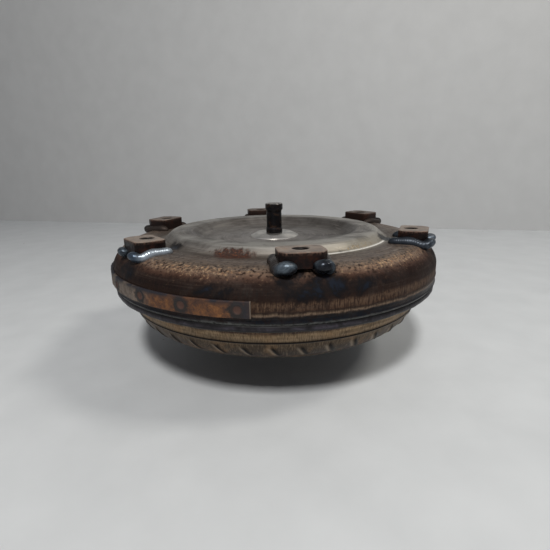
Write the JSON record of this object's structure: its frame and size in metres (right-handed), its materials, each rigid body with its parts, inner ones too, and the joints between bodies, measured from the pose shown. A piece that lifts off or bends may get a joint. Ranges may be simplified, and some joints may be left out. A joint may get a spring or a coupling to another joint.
{
  "type": "torque converter",
  "caption": "Torque converter of an automatic gearbox: welded housing with tapped drive lugs and pilot pin, bladed wheels, stator on a one-way clutch, lock-up clutch and pump neck.",
  "frame": {"origin": "middle of the pump neck's open end face, on the spin axis", "axes": "+Z along the spin axis from the pump neck to the pilot pin, -Y towards the picture's viewer, +X to the viewer's right"},
  "size_m": [0.2616, 0.261, 0.1243],
  "materials": {
    "oily_cover": "oily drawn steel with light rust and heat tint",
    "turned_steel": "turned, satin",
    "dark_pin": "dark oiled steel",
    "lug_steel": "rusty brown pads with blued welds",
    "blued_weld": "blue-black weld",
    "rusted_strip": "flash-rusted sheet",
    "tanned_shell": "tan oily pressed steel",
    "ground_steel": "ground",
    "pressed_sheet": "pressed, oiled",
    "cast_aluminium": "die-cast",
    "bearing_steel": "hardened, polished",
    "spring_steel": "tempered",
    "rivet_steel": "plain",
    "seal_polymer": "filled polymer",
    "friction_paper": "bonded friction paper"
  },
  "bodies": {
    "housing": {"front_cover": "oily_cover", "pilot_disc": "turned_steel", "pilot_pin": "dark_pin", "drive_lug_1": "lug_steel", "drive_lug_2": "lug_steel", "drive_lug_3": "lug_steel", "drive_lug_4": "lug_steel", "drive_lug_5": "lug_steel", "drive_lug_6": "lug_steel", "balance_strip": "rusted_strip", "closing_weld": "blued_weld", "impeller_shell": "tanned_shell", "impeller_core_ring": "pressed_sheet", "impeller_hub": "ground_steel", "lower_bearing_race": "bearing_steel"},
    "turbine": {"turbine_shell": "pressed_sheet", "turbine_core_ring": "pressed_sheet", "turbine_hub": "ground_steel", "hub_seal_ring": "seal_polymer", "turbine_rivet_1": "rivet_steel", "turbine_rivet_2": "rivet_steel", "turbine_rivet_3": "rivet_steel", "turbine_rivet_4": "rivet_steel", "turbine_rivet_5": "rivet_steel", "turbine_rivet_6": "rivet_steel", "damper_driven_ring": "pressed_sheet", "upper_bearing_race": "bearing_steel", "front_thrust_washer": "seal_polymer"},
    "damper": {"spring_cage": "pressed_sheet", "damper_spring_1": "spring_steel", "damper_spring_2": "spring_steel", "damper_spring_3": "spring_steel", "damper_spring_4": "spring_steel"},
    "lockup": {"lockup_piston": "pressed_sheet", "friction_lining": "friction_paper"},
    "stator": {"stator_wheel": "cast_aluminium", "clutch_outer_race": "bearing_steel", "clutch_roller_1": "bearing_steel", "clutch_roller_2": "bearing_steel", "clutch_roller_3": "bearing_steel", "clutch_roller_4": "bearing_steel", "clutch_roller_5": "bearing_steel", "clutch_roller_6": "bearing_steel", "clutch_roller_7": "bearing_steel", "clutch_roller_8": "bearing_steel", "stator_lower_plate": "ground_steel", "stator_upper_plate": "ground_steel"},
    "inner_race": {"clutch_inner_race": "ground_steel"},
    "lower_bearing": {"lower_needle_cage": "bearing_steel"},
    "upper_bearing": {"upper_needle_cage": "bearing_steel"}
  },
  "joints": [
    {"name": "turbine_spin", "type": "hinge", "parent": "housing", "child": "turbine", "pos_m": [0, 0, 0.0745], "axis": [0, 0, 1], "continuous": true},
    {"name": "damper_wind", "type": "hinge", "parent": "turbine", "child": "damper", "pos_m": [0, 0, 0.0807], "axis": [0, 0, 1], "range_deg": [-6, 6], "stiffness_Nm_per_rad": 200, "deforming": ["damper_spring_1", "damper_spring_2", "damper_spring_3", "damper_spring_4"]},
    {"name": "lockup_slide", "type": "slide", "parent": "damper", "child": "lockup", "axis": [0, 0, 1], "range_m": [0, 0.0009]},
    {"name": "stator_spin", "type": "hinge", "parent": "housing", "child": "stator", "pos_m": [0, 0, 0.05655], "axis": [0, 0, 1], "continuous": true},
    {"name": "inner_race_spin", "type": "hinge", "parent": "housing", "child": "inner_race", "pos_m": [0, 0, 0.05655], "axis": [0, 0, 1], "continuous": true},
    {"name": "lower_bearing_spin", "type": "hinge", "parent": "housing", "child": "lower_bearing", "pos_m": [0, 0, 0.0421], "axis": [0, 0, 1], "continuous": true},
    {"name": "upper_bearing_spin", "type": "hinge", "parent": "housing", "child": "upper_bearing", "pos_m": [0, 0, 0.071], "axis": [0, 0, 1], "continuous": true}
  ],
  "couplings": [
    {"joint": "lower_bearing_spin", "follows": "stator_spin", "ratio": 0.5},
    {"joint": "upper_bearing_spin", "follows": "turbine_spin", "ratio": 0.5}
  ]
}
